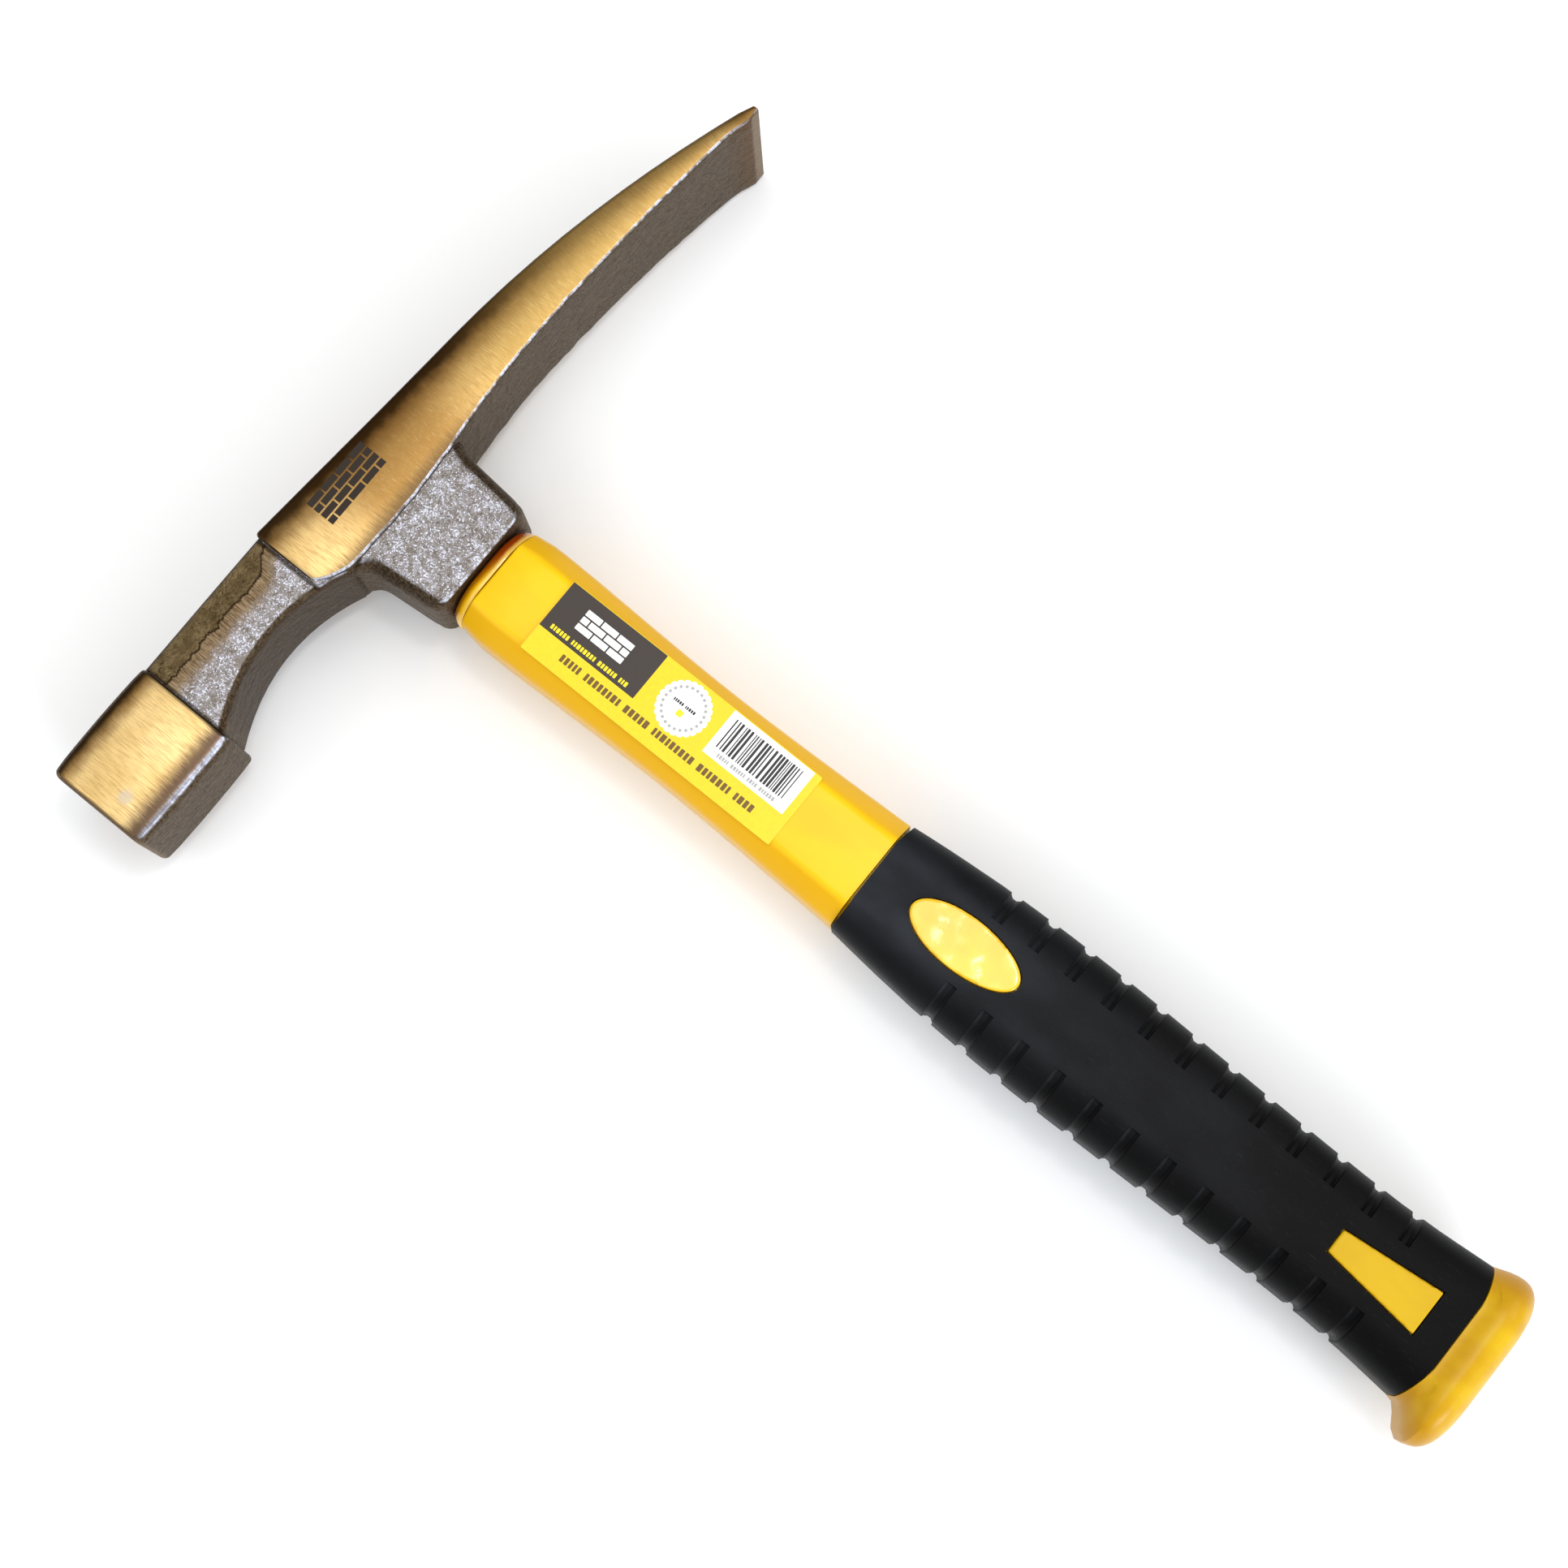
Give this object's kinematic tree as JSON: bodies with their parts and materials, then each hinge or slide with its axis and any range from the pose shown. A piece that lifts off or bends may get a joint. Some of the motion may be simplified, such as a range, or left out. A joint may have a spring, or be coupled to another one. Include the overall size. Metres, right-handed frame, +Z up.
{
  "type": "brick hammer",
  "caption": "Bricklayer's hammer: forged head with a square striking poll and a flared, drooping chisel blade, on a glass-fibre handle with a soft black grip and a flared butt.",
  "frame": {"origin": "middle of the hammer's box on the plane that its lower side touches when it is laid on its flank", "axes": "+X runs along the handle from the head to the butt, +Y along the head from the poll to the blade, +Z is up, across the head, out of the flank that carries the label"},
  "size_m": [0.3008, 0.1994, 0.036],
  "materials": {
    "forged_steel": "flanks ground bright across the head, the rest forged and shot-blasted",
    "eye_resin": "cast epoxy, dark amber",
    "amber_seal": "glossy amber bead",
    "glass_fibre": "pultruded rod with lengthwise fibres",
    "yellow_jacket": "glossy moulded yellow",
    "black_rubber": "satin moulded rubber with edge grooves",
    "yellow_insert": "moulded yellow, slightly uneven",
    "ochre_cap": "glossy ochre yellow",
    "label_film": null
  },
  "bodies": {
    "root": {"head": "forged_steel", "eye_resin": "eye_resin", "rim_seal": "amber_seal", "fibreglass_core": "glass_fibre", "handle_jacket": "yellow_jacket", "grip_sleeve": "black_rubber", "oval_pad_right": "yellow_insert", "oval_pad_left": "yellow_insert", "wedge_panel_right": "yellow_insert", "wedge_panel_left": "yellow_insert", "butt_cap": "ochre_cap", "label": "label_film"}
  },
  "joints": []
}
